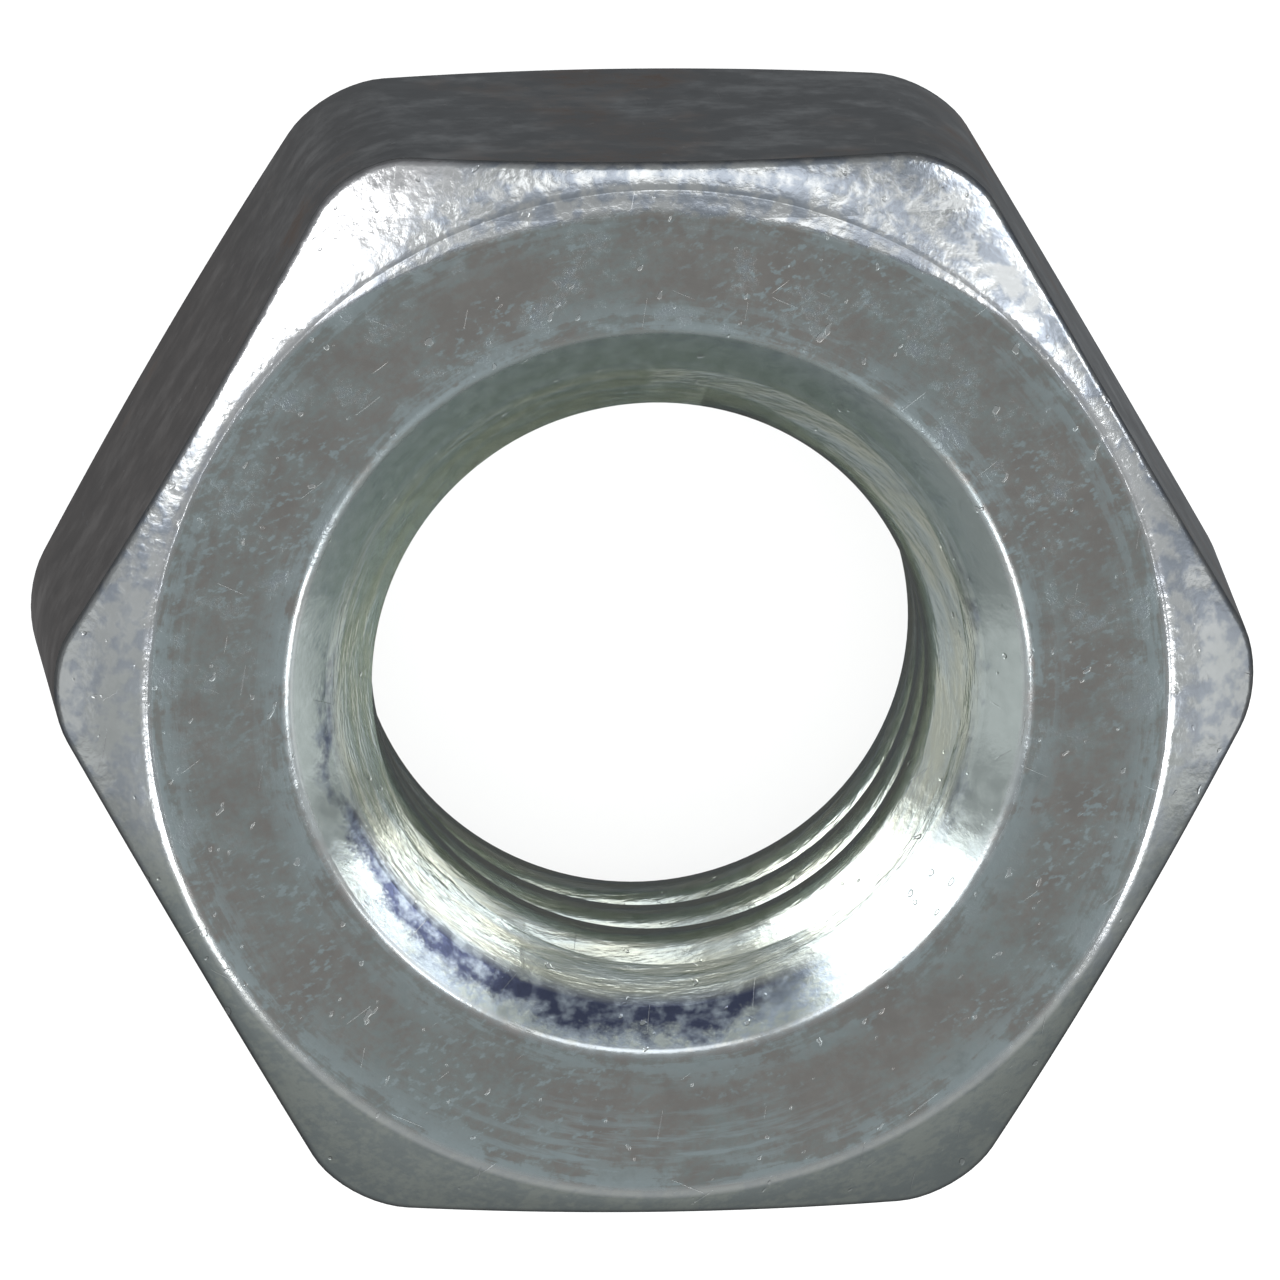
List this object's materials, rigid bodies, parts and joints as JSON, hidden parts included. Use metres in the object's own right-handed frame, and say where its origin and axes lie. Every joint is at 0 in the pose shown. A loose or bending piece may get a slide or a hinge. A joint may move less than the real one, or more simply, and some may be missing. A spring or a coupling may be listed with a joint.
{
  "type": "hex nut",
  "caption": "Plain hexagon nut with a coarse right-hand internal thread, chamfered corners and a countersink at both faces, bright zinc plated steel.",
  "frame": {"origin": "middle of the lower bearing face, on the thread axis; the nut lies flat on that face", "axes": "+Z along the thread axis; two of the six flats are square to Y and two corners lie on the X axis"},
  "size_m": [0.0112, 0.01, 0.0047],
  "materials": {
    "zinc_plated_steel": "electroplated bright zinc with a clear blue passivation, slightly mottled and scuffed"
  },
  "bodies": {
    "root": {"nut_body": "zinc_plated_steel"}
  },
  "joints": []
}
